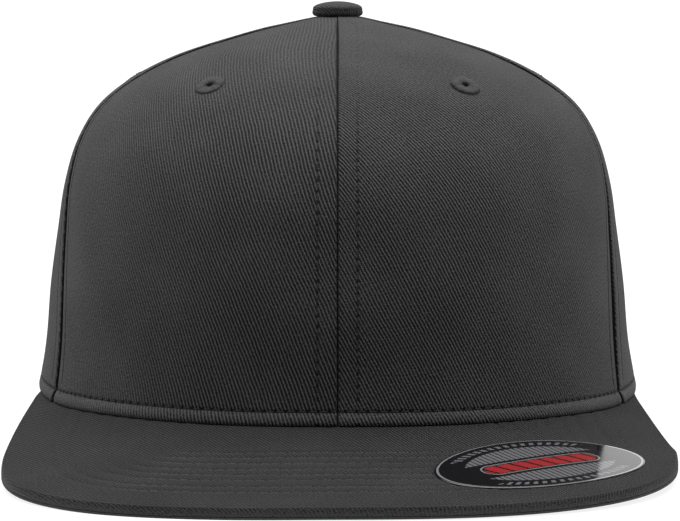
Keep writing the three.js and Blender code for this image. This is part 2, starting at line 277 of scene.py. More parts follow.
@dataclass(frozen=True)
class CrownShape:
    """The crown's outer surface as a function of an angle from the front and a row number."""

    brim: BrimShape = BrimShape()
    fade_height: float = 20.0
    angle_step: float = 0.2
    row_step: float = 0.02

    def rows(self, u: Array) -> Array:
        """Section sizes at row numbers, by a Catmull-Rom curve through the table."""
        knots = np.vstack([2 * SECTIONS[0] - SECTIONS[1], SECTIONS, SECTIONS[-2] * PAST_APEX])
        i = np.clip(np.floor(u).astype(int), 0, len(SECTIONS) - 2)
        t = (u - i)[..., None]
        a, b, c, d = knots[i], knots[i + 1], knots[i + 2], knots[i + 3]
        bend = 2 * a - 5 * b + 4 * c - d
        return 0.5 * (2 * b + (c - a) * t + bend * t**2 + (3 * b - 3 * c + d - a) * t**3)

    def point(self, angle: Array, u: Array) -> Array:
        """A superellipse point: side |sin|^(2/p) across, reach |cos|^(2/p) from the widest line."""
        angle, u = np.broadcast_arrays(np.asarray(angle, float), np.asarray(u, float))
        row = self.rows(u)
        sine, cosine = np.sin(np.radians(angle)), np.cos(np.radians(angle))
        power = 2 / row[..., POWER]
        front = row[..., FRONT] + row[..., WIDEST]
        back = row[..., BACK] - row[..., WIDEST]
        reach = np.where(cosine >= 0, front, back)
        x = row[..., SIDE] * np.sign(sine) * np.abs(sine) ** power
        y = row[..., WIDEST] - reach * np.sign(cosine) * np.abs(cosine) ** power
        return together(x, y, row[..., HEIGHT])

    def normal(self, angle: Array, u: Array) -> Array:
        """Outward normals, across times up, from short steps along the surface."""
        side, step = self.angle_step, self.row_step
        across = self.point(angle + side, u) - self.point(angle - side, u)
        up = self.point(angle, u + step) - self.point(angle, u - step)
        return unit(np.cross(across, up))

    def laid(
        self, angle: Array, u: Array, depth: float, edge: LowerEdge, relief: Array | float = 0.0
    ) -> Array:
        """Points under the surface, eased near the base to a lower edge.

        The height moves by (edge height less base height) times (1 - height / fade) squared.

        Args:
            angle: degrees from the front, positive to the wearer's left.
            u: row numbers.
            depth: how far under the outer surface the points lie.
            edge: where the lower edge ends.
            relief: a further lift along the normal.

        Returns:
            Points in millimetres in the crown's frame.
        """
        normal = self.normal(angle, u)
        lift = np.asarray(relief - depth)
        point = self.point(angle, u) + normal * (lift[..., None] if lift.ndim else lift)
        zero = np.zeros_like(np.asarray(u, float))
        edge_lift = lift[:1, :, None] if lift.ndim else lift
        base = self.point(angle, zero) + self.normal(angle, zero) * edge_lift
        behind = smoothstep(np.abs(angle), edge.ease_from, edge.ease_to)
        front = self.brim.top(base[..., 0], base[..., 1]) - edge.under
        height = self.rows(np.asarray(u, float))[..., HEIGHT]
        fade = np.maximum(0, 1 - height / self.fade_height) ** 2
        point[..., 2] += (front + (edge.over - front) * behind - base[..., 2]) * fade
        return point

    def row_at(self, height: float) -> float:
        """The row number where the table reaches a height."""
        u = np.linspace(0, APEX_ROW, 2000)
        return float(np.interp(height, self.rows(u)[:, HEIGHT], u))


@dataclass
class Surface:
    """A mesh in the making: points, four-cornered faces, UV maps and material numbers."""

    points: Array
    faces: Array
    uv: dict[str, Array]
    material: Array | None = None

    @staticmethod
    def joined(parts: "list[Surface]") -> "Surface":
        """Several surfaces as one, with their points numbered on."""
        starts = np.cumsum([0] + [len(part.points) for part in parts[:-1]])
        faces = [part.faces + start for part, start in zip(parts, starts)]
        uv = {name: np.concatenate([part.uv[name] for part in parts]) for name in parts[0].uv}
        return Surface(np.concatenate([part.points for part in parts]), np.concatenate(faces), uv)


def grid_faces(rows: int, columns: int, wrapped: bool = False) -> Array:
    """Faces of a grid of points, row by row, whose columns may close on themselves."""
    j, i = np.meshgrid(
        np.arange(rows - 1), np.arange(columns if wrapped else columns - 1), indexing="ij"
    )
    a, b = j * columns + i, j * columns + (i + 1) % columns
    return np.stack([a, b, b + columns, a + columns], axis=-1).reshape(-1, 4)


def closed_wall(
    outer: Array, inner: Array, uv: dict[str, Array], wrapped: bool = False
) -> Surface:
    """A closed wall between two grids: each grid's faces, and strips round their borders.

    Args:
        outer: rows by columns of points, whose columns times rows points outwards.
        inner: the same grid under it.
        uv: maps with a pair of numbers for each point of the grid.
        wrapped: whether the columns close on themselves.

    Returns:
        The wall, with material 0 on the outer grid and its borders and 1 on the inner grid.
    """
    rows, columns = outer.shape[:2]
    count = rows * columns
    index = np.arange(count).reshape(rows, columns)
    front = grid_faces(rows, columns, wrapped)
    back = front[:, ::-1] + count
    follow = np.roll(index, -1, axis=1) if wrapped else index[:, 1:]
    lead = index if wrapped else index[:, :-1]
    borders = [(follow[0], lead[0]), (lead[-1], follow[-1])]
    if not wrapped:
        borders += [(index[:-1, 0], index[1:, 0]), (index[1:, -1], index[:-1, -1])]
    strips = [np.stack([a, b, b + count, a + count], axis=-1) for a, b in borders]
    faces = np.concatenate([front, *strips, back])
    material = np.zeros(len(faces), dtype=np.int32)
    material[-len(back) :] = 1
    points = np.concatenate([outer.reshape(-1, 3), inner.reshape(-1, 3)])
    maps = {name: np.tile(value.reshape(-1, 2), (2, 1)) for name, value in uv.items()}
    return Surface(points, faces, maps, material)


def ring_faces(stations: int, size: int) -> Array:
    """Faces of a closed body through rings of an even number of points, one after another.

    They face out where stations times ring points outwards. Strips across the end rings close it.
    """
    k = np.arange(size // 2 - 1)
    first = np.stack([k, k + 1, size - 2 - k, size - 1 - k], axis=-1)
    last = first[:, ::-1] + (stations - 1) * size
    return np.concatenate([grid_faces(stations, size, wrapped=True)[:, ::-1], first, last])


def ring_wall(loops: Array, uv: dict[str, Array], flipped: bool = False) -> Surface:
    """A closed body through loops of points.

    Args:
        loops: stations by loop points of positions, in order round the body.
        uv: maps with a pair of numbers for each point.
        flipped: whether stations times loop points inwards.

    Returns:
        The body, facing out.
    """
    faces = ring_faces(*loops.shape[:2])
    maps = {name: value.reshape(-1, 2) for name, value in uv.items()}
    return Surface(loops.reshape(-1, 3), faces[:, ::-1].copy() if flipped else faces, maps)


@dataclass(frozen=True)
class Thread:
    """A lockstitch of sewing thread: its pitch, and the half width and half height it lies with."""

    pitch: float = SEAM_PITCH_MM
    half_width: float = 0.2
    half_height: float = 0.15
    lift: float = 0.0
    dive: float = 0.3
    sides: int = 6

    def sewn(self, path: Array, normals: Array, places: Array) -> Surface:
        """Stitches along a path, each a bent grain that dives into the cloth at both ends.

        A stitch runs from hole to hole; its centre rises by lift and its ends sink by dive, and a
        six-sided ring is carried along five stations of it.

        Args:
            path: points along the cloth's surface.
            normals: outward normals at those points.
            places: the path's own measure at those points, in which holes are a pitch apart.

        Returns:
            All the stitches in one surface.
        """
        share = np.array([0.03, 0.2, 0.5, 0.8, 0.97])
        rise = np.array([-self.dive, self.lift * 0.6, self.lift, self.lift * 0.6, -self.dive])
        size = np.array([0.55, 1.0, 1.05, 1.0, 0.55])
        first = np.ceil(places[0] / self.pitch)
        count = int((places[-1] / self.pitch) - first)
        wanted = (first + np.arange(count)[:, None] + share) * self.pitch
        normal = unit(read_off(wanted, places, normals))
        centre = read_off(wanted, places, path) + normal * rise[:, None]
        tangent = unit(np.gradient(centre, axis=1))
        across = unit(np.cross(tangent, normal))
        turn = around(self.sides)
        wide = across[:, :, None] * (np.cos(turn) * self.half_width)[:, None]
        high = normal[:, :, None] * (np.sin(turn) * self.half_height)[:, None]
        loops = centre[:, :, None] + (wide + high) * size[:, None, None]
        one = ring_faces(len(share), self.sides)
        start = len(share) * self.sides * np.arange(count)
        faces = (one[None] + start[:, None, None]).reshape(-1, 4)
        uv = together(wanted[:, :, None], turn / FULL_TURN)
        return Surface(loops.reshape(-1, 3), faces, {"thread": uv.reshape(-1, 2)})


@dataclass
class Dye:
    """The nodes of one material as they are put together."""

    material: Material

    @staticmethod
    def pot(name: str) -> "Dye":
        """A new material with an empty node tree."""
        material = bpy.data.materials.new(name)
        material.use_nodes = True
        material.node_tree.nodes.clear()
        return Dye(material)

    def node(
        self,
        kind: str,
        settings: dict[str, object] | None = None,
        inputs: dict[object, object] | None = None,
    ) -> bpy.types.Node:
        """Adds a node with its settings, and links or sets its inputs.

        Args:
            kind: the node's type name.
            settings: values of the node's own properties.
            inputs: for a socket's name or number, another node's output to link, or a value.

        Returns:
            The node.
        """
        tree = self.material.node_tree
        node = tree.nodes.new(kind)
        for name, value in (settings or {}).items():
            setattr(node, name, value)
        for name, value in (inputs or {}).items():
            if isinstance(value, Socket):
                tree.links.new(value, node.inputs[name])
            else:
                node.inputs[name].default_value = value
        return node

    def math(self, operation: str, *values: Socket | float) -> Socket:
        """The result of one Math operation on sockets or numbers."""
        inputs = dict(enumerate(values))
        return self.node("ShaderNodeMath", {"operation": operation}, inputs).outputs[0]

    def wave(self, turns: Socket) -> Socket:
        """A cosine of whole turns."""
        return self.math("COSINE", self.math("MULTIPLY", turns, FULL_TURN))

    def pair(self, uv_map: str) -> tuple[Socket, Socket]:
        """The two numbers of a UV map."""
        read = self.node("ShaderNodeUVMap", {"uv_map": uv_map})
        split = self.node("ShaderNodeSeparateXYZ", inputs={0: read.outputs[0]})
        return split.outputs[0], split.outputs[1]

    def place(self, axis: str) -> Socket:
        """One of the object's own coordinates, in metres."""
        place = self.node("ShaderNodeTexCoord").outputs["Object"]
        return self.node("ShaderNodeSeparateXYZ", inputs={"Vector": place}).outputs[axis]

    def ease(
        self, value: Socket, span: tuple[float, float], to: tuple[float, float], how: str = "SMOOTHSTEP"
    ) -> Socket:
        """Eases a value over a span from one number to another, and holds it beyond."""
        ends = {"Value": value, "From Min": span[0], "From Max": span[1]}
        ends |= {"To Min": to[0], "To Max": to[1]}
        return self.node("ShaderNodeMapRange", {"interpolation_type": how}, ends).outputs[0]

    def band(self, value: Socket, middle: float, half: float, soft: float) -> Socket:
        """1 where a value lies within half of a middle, fading to 0 over soft."""
        away = self.math("ABSOLUTE", self.math("SUBTRACT", value, middle))
        return self.ease(away, (half, half + soft), (1.0, 0.0), "LINEAR")

    def noise(self, u: Socket, v: Socket, scale: float, detail: float) -> Socket:
        """Smooth noise about 0.5 over a flat map of millimetres."""
        flat = self.node("ShaderNodeCombineXYZ", inputs={0: u, 1: v}).outputs[0]
        inputs = {"Vector": flat, "Scale": scale, "Detail": detail}
        return self.node("ShaderNodeTexNoise", inputs=inputs).outputs[0]

    def blend(self, factor: Socket, low: Socket | str, high: Socket | str) -> Socket:
        """A colour between two, each a socket or a hex colour, by a factor held from 0 to 1."""
        first, second = (srgb(each) if isinstance(each, str) else each for each in (low, high))
        inputs = {"Factor": factor, "A": first, "B": second}
        return self.node("ShaderNodeMix", {"data_type": "RGBA"}, inputs).outputs["Result"]

    def bump(self, height: Socket, depth_mm: float, strength: float = 1.0) -> Socket:
        """Normals of a relief whose height of 1 stands for a depth."""
        inputs = {"Height": height, "Distance": depth_mm * MM, "Strength": strength}
        return self.node("ShaderNodeBump", inputs=inputs).outputs[0]

    def finish(self, **inputs: object) -> Material:
        """Joins a Principled shader with these inputs to the output, and gives the material."""
        named = {name.replace("_", " "): value for name, value in inputs.items()}
        shader = self.node("ShaderNodeBsdfPrincipled", inputs=named)
        self.node("ShaderNodeOutputMaterial", inputs={"Surface": shader.outputs[0]})
        return self.material


@dataclass(frozen=True)
class Stitching:
    """Where a row of needle holes lies on a UV map that holds distance and length. Its depth sets
    both the holes' dents and their painted shade.
    """

    uv_map: str
    row: float
    pitch: float
    depth: float = 0.6


@dataclass(frozen=True)
class WearAndHighlight:
    """A lighter band, part wear and part painted highlight: its place on a UV map of distance, its
    reach and strength.
    """

    uv_map: str
    middle: float
    reach: float
    strength: float


@dataclass(frozen=True)
class GrooveShadeFade:
    """Where the painted shade in the twill's grooves fades: between two distances in metres from the
    middle of an axis.
    """

    axis: str
    start: float
    end: float


@dataclass(frozen=True)
class CottonTwill:
    """Brushed cotton twill, woven over two and under one, so that fine ridges run across it aslant.

    The ridges, or wales, are coloured light and the grooves between them dark, partly the weave's
    own pattern and partly painted shade in the grooves. Over set spans that painted groove shade
    fades. Loose fibre on top scatters light at the edges of the form, which is the sheen.
    """

    name: str
    ridge: str = "#535354"
    groove: str = "#0d0d0e"
    pitch_mm: float = 0.9
    slant: float = 27.5
    yarn_mm: float = 0.46
    ridge_depth_mm: float = 0.24
    roughness: float = 0.9
    sheen: float = 0.04
    groove_contrast: float = 1.0
    level: float = 0.0
    uneven: float = 1.3
    groove_shade_fades: tuple[GrooveShadeFade, ...] = ()
    shaded_seams: tuple[str, ...] = ()
    worn_and_lit: WearAndHighlight | None = None
    stitching: tuple[Stitching, ...] = ()

    def wear_and_highlight(self, dye: Dye) -> Socket | float:
        """How much lighter the band paints the cloth, from its strength in the middle to 0 at its
        reach.
        """
        if self.worn_and_lit is None:
            return 0.0
        away, _ = dye.pair(self.worn_and_lit.uv_map)
        off = dye.math("ABSOLUTE", dye.math("SUBTRACT", away, self.worn_and_lit.middle))
        return dye.ease(off, (0.0, self.worn_and_lit.reach), (self.worn_and_lit.strength, 0.0))

    def groove_shade_share(self, dye: Dye) -> Socket | float:
        """How much painted shade the grooves keep: the groove contrast, less by six tenths over each
        fade.
        """
        total: Socket | float = self.groove_contrast
        for shade_fade in self.groove_shade_fades:
            part = dye.math("ABSOLUTE", dye.place(shade_fade.axis))
            eased = dye.ease(part, (shade_fade.start, shade_fade.end), (1.0, 0.4))
            total = dye.math("MULTIPLY", eased, total)
        return total

    def seam_shade(self, dye: Dye) -> Socket | float:
        """Painted shade in the seams' grooves, from 1 on a seam to 0 at 0.42 mm."""
        total: Socket | float = 0.0
        for uv_map in self.shaded_seams:
            away, _ = dye.pair(uv_map)
            total = dye.math("MAXIMUM", dye.ease(away, (0.1, 0.42), (1.0, 0.0)), total)
        return total

    def holes(self, dye: Dye) -> Socket | float:
        """Painted shade and dents at the needle holes, from 0 to 1, over all rows of stitching.

        Near a row, |distance - row| / 0.5 and the way to the next hole / 0.62 give a radius, and
        the hole fades out where its square goes from 0.15 to 1.2. Over the top the holes' painted
        shade and dents fade to a fifth.
        """
        total: Socket | float = 0.0
        for row in self.stitching:
            away, along = dye.pair(row.uv_map)
            aside = dye.math("DIVIDE", dye.math("SUBTRACT", away, row.row), 0.5)
            hole = dye.math("PINGPONG", along, row.pitch / 2)
            beside = dye.math("DIVIDE", hole, 0.62)
            square = dye.math("ADD", dye.math("POWER", aside, 2.0), dye.math("POWER", beside, 2.0))
            total = dye.math("MAXIMUM", dye.ease(square, (0.15, 1.2), (row.depth, 0.0)), total)
        if not self.stitching:
            return total
        return dye.math("MULTIPLY", total, dye.ease(dye.place("Z"), (0.083, 0.095), (1.0, 0.2)))

    def make(self) -> Material:
        """Builds the cloth: wales, the yarns that cross them, slubs, needle holes and fibre.

        A wale is a raised cosine across the slant, squared, whose phase wanders with the noise. Its
        height is drawn to 0.4, about its mean, where the painted groove shade fades. Painted shade at
        needle holes and seams darkens the colour, and the lighter band adds wear and painted highlight.
        """
        dye = Dye.pot(self.name)
        u, v = dye.pair("cloth")
        drift = dye.noise(u, v, 0.16, 2.0)
        slub = dye.noise(u, v, 1.7, 3.0)
        patch = dye.noise(u, v, 0.05, 2.0)
        turn = np.radians(self.slant)
        part_u = dye.math("MULTIPLY", u, float(np.cos(turn) / self.pitch_mm))
        part_v = dye.math("MULTIPLY", v, float(np.sin(turn) / self.pitch_mm))
        wander = dye.math("MULTIPLY_ADD", drift, 0.6, dye.math("MULTIPLY", slub, 0.2))
        phase = dye.math("ADD", dye.math("ADD", part_u, part_v), wander)
        raised = dye.math("MULTIPLY_ADD", dye.wave(phase), 0.5, 0.5)
        above = dye.math("SUBTRACT", dye.math("POWER", raised, 2.0), 0.4)
        wale = dye.math("MULTIPLY_ADD", above, self.groove_shade_share(dye), 0.4)
        yarn = dye.wave(dye.math("DIVIDE", u, self.yarn_mm))
        notched = dye.math("MULTIPLY_ADD", dye.math("MULTIPLY", yarn, wale), 0.3, wale)
        uneven = dye.math("MULTIPLY_ADD", slub, self.uneven, -0.5 * self.uneven)
        height = dye.math("ADD", notched, uneven)
        # Painted shade at needle holes and in seam grooves, which also dents the relief
        pit_shade_and_dents = dye.math("ADD", self.holes(dye), self.seam_shade(dye))
        patchy = dye.math("MULTIPLY_ADD", patch, 0.34, self.level - 0.17)
        worn_and_lit = dye.math("ADD", patchy, self.wear_and_highlight(dye))
        # The tone: the wales, darkened by painted shade at holes and seams, lightened by wear and
        # painted highlight
        tone = dye.math("MULTIPLY_ADD", pit_shade_and_dents, -1.3, dye.math("ADD", height, worn_and_lit))
        relief = dye.math("MULTIPLY_ADD", pit_shade_and_dents, -1.5, height)
        return dye.finish(
            Base_Color=dye.blend(tone, self.groove, self.ridge),
            Roughness=self.roughness,
            Specular_IOR_Level=0.18,
            Sheen_Weight=self.sheen,
            Sheen_Roughness=0.45,
            Normal=dye.bump(relief, self.ridge_depth_mm, 0.9),
        )


@dataclass(frozen=True)
class PolyesterThread:
    """Spun polyester sewing thread, three plies twisted together, with a soft gloss."""

    name: str = "spun_polyester_thread"
    light: str = "#323233"
    dark: str = "#1c1c1d"
    twist_mm: float = 0.55

    def make(self) -> Material:
        """Builds slanting plies: a cosine of the length plus the turn round the thread."""
        dye = Dye.pot(self.name)
        along, round_it = dye.pair("thread")
        ply = dye.wave(dye.math("ADD", dye.math("DIVIDE", along, self.twist_mm), round_it))
        return dye.finish(
            Base_Color=dye.blend(dye.math("MULTIPLY_ADD", ply, 0.35, 0.55), self.dark, self.light),
            Roughness=0.8,
            Specular_IOR_Level=0.2,
            Normal=dye.bump(ply, 0.05),
        )


@dataclass(frozen=True)
class PlainWeave:
    """A plain woven lining cloth: yarns over and under one another in a small check."""

    name: str
    light: str
    dark: str
    yarn_mm: float = 0.8

    def make(self) -> Material:
        """Builds the check as the product of a cosine across and a cosine along."""
        dye = Dye.pot(self.name)
        across, along = (
            dye.wave(dye.math("DIVIDE", way, 2 * self.yarn_mm)) for way in dye.pair("cloth")
        )
        check = dye.math("MULTIPLY_ADD", dye.math("MULTIPLY", across, along), 0.5, 0.5)
        colour = dye.blend(check, self.dark, self.light)
        return dye.finish(Base_Color=colour, Roughness=0.95, Normal=dye.bump(check, 0.12))


@dataclass(frozen=True)
class PrintedFoil:
    """A printed polyester foil sticker: glossy black film with silver, grey and red ink.

    The film mirrors what stands behind it, a little hazed by handling. The inks are solid.
    """

    name: str = "printed_polyester_foil"
    film: str = "#0c0c0e"
    silver: str = "#a9a9ab"
    grey: str = "#5f5f62"
    red: str = "#8a2226"
    half_length: float = 32.0
    half_width: float = 19.0
    bar_half_length: float = 15.0

    def make(self) -> Material:
        """Builds the print from bands: a rim, ticks in it, a row of blocks, and hatching beside it.

        The rim, the ticks and the hatching's lens go by the radius of the oval, which is 1 at its
        edge. The bar and its outline go by the distance from a line 30 mm long in the middle.
        """
        dye = Dye.pot(self.name)
        x, y = dye.pair("print")
        far_x = dye.math("DIVIDE", x, self.half_length)
        far_y = dye.math("DIVIDE", y, self.half_width)
        radius = self.length(dye, far_x, far_y)
        rim = dye.band(radius, 0.97, 0.007, 0.005)
        turn = dye.math("ARCTAN2", far_y, far_x)
        tick = dye.band(dye.math("PINGPONG", turn, 0.05), 0.05, 0.02, 0.01)
        above = dye.band(dye.math("ABSOLUTE", far_y), 0.8, 0.26, 0.01)
        ring = dye.band(radius, 0.83, 0.04, 0.01)
        ticks = dye.math("MULTIPLY", dye.math("MULTIPLY", ring, tick), above)
        beyond = dye.math("SUBTRACT", dye.math("ABSOLUTE", x), self.bar_half_length)
        reach = self.length(dye, dye.math("MAXIMUM", beyond, 0.0), y)
        lean = dye.math("MULTIPLY_ADD", y, 0.35, x)
        block = dye.band(dye.math("PINGPONG", lean, 2.4), 0.0, 1.85, 0.15)
        bar = dye.math("MULTIPLY", dye.band(reach, 0.0, 2.9, 0.15), block)
        outline = dye.band(reach, 3.7, 0.16, 0.12)
        stripe = dye.band(dye.math("PINGPONG", x, 0.85), 0.0, 0.58, 0.12)
        lens = dye.band(radius, 0.0, 0.7, 0.015)
        clear = dye.band(dye.math("ABSOLUTE", y), 30.0, 24.6, 0.1)
        hatch = dye.math("MULTIPLY", dye.math("MULTIPLY", stripe, lens), clear)
        greys = dye.math("MAXIMUM", ticks, hatch)
        shine = dye.math("MAXIMUM", rim, outline)
        colour: Socket | str = self.film
        for mask, ink in ((greys, self.grey), (shine, self.silver), (bar, self.red)):
            colour = dye.blend(mask, colour, ink)
        haze = dye.math("MULTIPLY_ADD", dye.noise(x, y, 0.08, 3.0), 0.1, 0.03)
        metal = dye.math("MULTIPLY", shine, 0.6)
        return dye.finish(Base_Color=colour, Metallic=metal, Roughness=haze, IOR=1.6)

    @staticmethod
    def length(dye: Dye, x: Socket, y: Socket) -> Socket:
        """The square root of x squared plus y squared."""
        square = dye.math("ADD", dye.math("POWER", x, 2.0), dye.math("POWER", y, 2.0))
        return dye.math("SQRT", square)


class Slot(Enum):
    """The record's material slots."""

    CROWN = "crown_twill"
    BRIM = "brim_twill"
    BUTTON = "button_twill"
    THREAD = "eyelet_thread"
    BAND = "sweatband_cloth"
    STICKER = "sticker_foil"


@dataclass(frozen=True)
class Workshop:
    """Turns surfaces into pieces that lie in the part's frame and ride on its one body."""

    lay: Lay = Lay()

    def mesh(self, name: str, surface: Surface) -> Piece:
        """A smooth shaded object at the origin, with a surface of the crown's frame laid down in it."""
        data = bpy.data.meshes.new(name)
        data.from_pydata(self.lay.placed(surface.points), [], surface.faces, shade_flat=False)
        corner = np.empty(len(data.loops), dtype=np.int32)
        data.loops.foreach_get("vertex_index", corner)
        for uv_name, values in surface.uv.items():
            layer = data.uv_layers.new(name=uv_name)
            layer.data.foreach_set("uv", values[corner].astype(np.float32).ravel())
        if surface.material is not None:
            data.polygons.foreach_set("material_index", surface.material)
        data.update()
        piece = bpy.data.objects.new(name, data)
        bpy.context.scene.collection.objects.link(piece)
        return piece

    def dress(
        self,
        piece: Piece,
        materials: list[Material],
        node: str | None = None,
    ) -> Piece:
        """Gives a piece its materials, and lets it ride and stand for its node."""
        for material in materials:
            piece.data.materials.append(material)
        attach(piece, "root")
        if node:
            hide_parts(node)
        log.info("%s: %d faces", piece.name, len(piece.data.polygons))
        return piece

    def punch(self, piece: Piece, cutter: Piece) -> None:
        """Cuts one closed mesh out of another for good, and removes the cutter."""
        cut = piece.modifiers.new("hole", "BOOLEAN")
        cut.operation = "DIFFERENCE"
        cut.solver = "EXACT"
        cut.object = cutter
        graph = bpy.context.evaluated_depsgraph_get()
        holed = bpy.data.meshes.new_from_object(piece.evaluated_get(graph))
        piece.modifiers.clear()
        holed.name = piece.name
        piece.data = holed
        bpy.data.objects.remove(cutter)


class SeamLine(Enum):
    """The seams between the panels: a column of the table, or None, and a side or an angle."""

    FRONT_CENTRE = (None, 0.0)
    LEFT_FRONT = (FRONT_SEAM, 1.0)
    RIGHT_FRONT = (FRONT_SEAM, -1.0)
    LEFT_BACK = (BACK_SEAM, 1.0)
    RIGHT_BACK = (BACK_SEAM, -1.0)
    BACK_CENTRE_LEFT = (None, 180.0)
    BACK_CENTRE_RIGHT = (None, -180.0)

    def angle(self, crown: CrownShape, u: Array) -> Array:
        """The seam's angle from the front at row numbers."""
        column, number = self.value
        if column is None:
            return np.full_like(np.asarray(u, float), number)
        return crown.rows(np.asarray(u, float))[..., column] * number


HEM = LowerEdge(under=-0.3, over=0.0, ease_from=83, ease_to=98)
BAND_EDGE = LowerEdge(under=3.0, over=0.5, ease_from=66, ease_to=84)

# Relief beside a seam: the roll into it, the swell over its allowances, and the stitches' groove
SEAM_ROLL = (Bell(-1.1, 0.0, 0.28), Bell(-0.2, 0.0, 1.1))
SEAM_EVEN = Bell(0.18, 2.5, 1.5)
SEAM_RAISED = Bell(0.35, 0.0, 4.0)
SEAM_SUNK = Bell(-0.35, 0.0, 2.2)
SEAM_GROOVE = Bell(-0.09, SEAM_ROW_MM, 0.4)
# Relief over the hem: its rolled edge and its stitches' groove, and where it is pressed flat over
# the brim's tips, in degrees from the front
HEM_ROLL = Bell(-0.3, 0.0, 0.4)
HEM_GROOVE = Bell(-0.22, HEM_ROW_MM, 0.4)
HEM_PRESSED = Bell(1.0, 84.0, 14.0)


